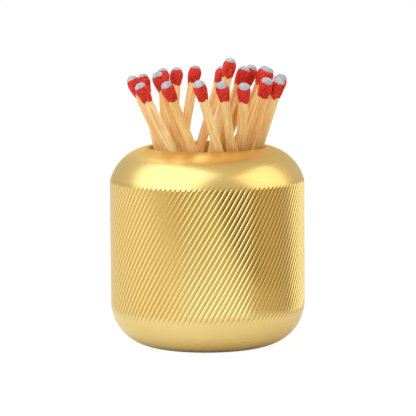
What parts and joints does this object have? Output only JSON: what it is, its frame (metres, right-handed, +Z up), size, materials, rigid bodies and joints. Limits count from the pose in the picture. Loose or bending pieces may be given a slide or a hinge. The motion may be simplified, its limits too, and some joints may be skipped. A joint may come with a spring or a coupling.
{
  "type": "match striker",
  "caption": "Squat turned brass pot with a band of slanting grooves to strike matches on, its round well full of red-headed kitchen matches that lean outwards.",
  "frame": {"origin": "centre of the flat that the pot stands on", "axes": "+Z up along the pot's axis; -Y towards the side that the picture shows; +X to its right"},
  "size_m": [0.05, 0.05, 0.0731],
  "materials": {
    "pot": "satin",
    "splint": "matte",
    "head": "matte",
    "tip": "matte"
  },
  "bodies": {
    "root": {"pot": "pot", "splint_01": "splint", "splint_02": "splint", "splint_03": "splint", "splint_04": "splint", "splint_05": "splint", "splint_06": "splint", "splint_07": "splint", "splint_08": "splint", "splint_09": "splint", "splint_10": "splint", "splint_11": "splint", "splint_12": "splint", "splint_13": "splint", "splint_14": "splint", "splint_15": "splint", "splint_16": "splint", "splint_17": "splint", "splint_18": "splint", "splint_19": "splint", "splint_20": "splint", "head_01": "head", "head_02": "head", "head_03": "head", "head_04": "head", "head_05": "head", "head_06": "head", "head_07": "head", "head_08": "head", "head_09": "head", "head_10": "head", "head_11": "head", "head_12": "head", "head_13": "head", "head_14": "head", "head_15": "head", "head_16": "head", "head_17": "head", "head_18": "head", "head_19": "head", "head_20": "head", "head_tips": "tip"}
  },
  "joints": []
}
